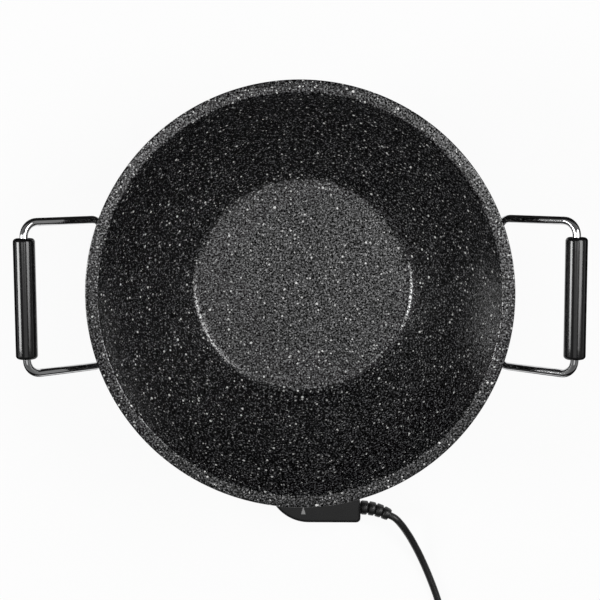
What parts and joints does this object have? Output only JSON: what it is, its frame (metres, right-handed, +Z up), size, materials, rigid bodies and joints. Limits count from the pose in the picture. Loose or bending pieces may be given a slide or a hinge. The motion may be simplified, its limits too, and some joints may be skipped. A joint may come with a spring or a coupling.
{
  "type": "electric wok",
  "caption": "Wide round electric wok with a speckled non-stick bowl, wire handles with black tube grips, a footed base and a plug-in temperature control on a mains cord.",
  "frame": {"origin": "on the table under the middle of the wok with its control plugged in, cord left out; the wok's own axis is 21.75 mm along +Y from it", "axes": "+Z up, +X from handle to handle, -Y towards the temperature control"},
  "size_m": [0.4736, 0.687, 0.1644],
  "materials": {
    "bowl_coating": "dark grey speckled non-stick coating on cast aluminium, satin",
    "chrome_wire": "polished chrome plated wire",
    "grip_plastic": "glossy black moulded plastic",
    "bright_metal": "polished plated metal",
    "foot_rubber": "matt black rubber",
    "base_plastic": "satin black heat-proof plastic",
    "control_plastic": "satin black moulded plastic",
    "dial_plastic": "satin black moulded plastic",
    "brass_contacts": "bare brass",
    "ceramic": "off-white unglazed ceramic",
    "lamp_glass": "clear lamp glass",
    "lens_red": "translucent red plastic",
    "relief_rubber": "black flexible moulding",
    "cord_jacket": "satin black cord jacket",
    "plug_plastic": "satin black moulded plastic",
    "plug_pins": "nickel plated pins",
    "steel": "plain pressed steel"
  },
  "bodies": {
    "wok": {"bowl": "bowl_coating", "heating_element": "steel", "terminal_pin_left": "bright_metal", "terminal_pin_right": "bright_metal", "sensor_guide": "steel", "socket_shroud": "steel", "base_shell": "base_plastic", "base_cover": "steel", "base_screw_1": "steel", "base_screw_2": "steel", "base_screw_3": "steel", "base_screw_4": "steel", "foot_1": "foot_rubber", "foot_2": "foot_rubber", "foot_3": "foot_rubber", "foot_4": "foot_rubber", "handle_wire_right": "chrome_wire", "handle_grip_right": "grip_plastic", "handle_strap_right": "steel", "strap_screw_right_upper": "steel", "strap_screw_right_lower": "steel", "handle_wire_left": "chrome_wire", "handle_grip_left": "grip_plastic", "handle_strap_left": "steel", "strap_screw_left_upper": "steel", "strap_screw_left_lower": "steel"},
    "control": {"control_top_shell": "control_plastic", "control_bottom_shell": "control_plastic", "control_screw_1": "steel", "control_screw_2": "steel", "control_screw_3": "steel", "probe_tube": "bright_metal", "thermostat_frame": "steel", "ceramic_block": "ceramic", "contact_arm_lower": "brass_contacts", "contact_arm_upper": "brass_contacts", "bimetal_blade": "steel", "pin_receptacle_left": "brass_contacts", "pin_receptacle_right": "brass_contacts", "pilot_lamp": "lamp_glass", "lamp_lens": "lens_red", "strain_relief": "relief_rubber", "cord_free": "cord_jacket", "cord_coil": "cord_jacket", "plug_body": "plug_plastic", "plug_pin_left": "plug_pins", "plug_pin_right": "plug_pins"},
    "dial": {"temperature_dial": "dial_plastic", "dial_spindle": "steel"}
  },
  "joints": [
    {"name": "control_pull", "type": "slide", "parent": "wok", "child": "control", "axis": [0, -1, 0], "range_m": [0, 0.09]},
    {"name": "dial_turn", "type": "hinge", "parent": "control", "child": "dial", "pos_m": [0, -0.16125, 0.05], "axis": [0, 0, -1], "range_deg": [0, 270]}
  ]
}
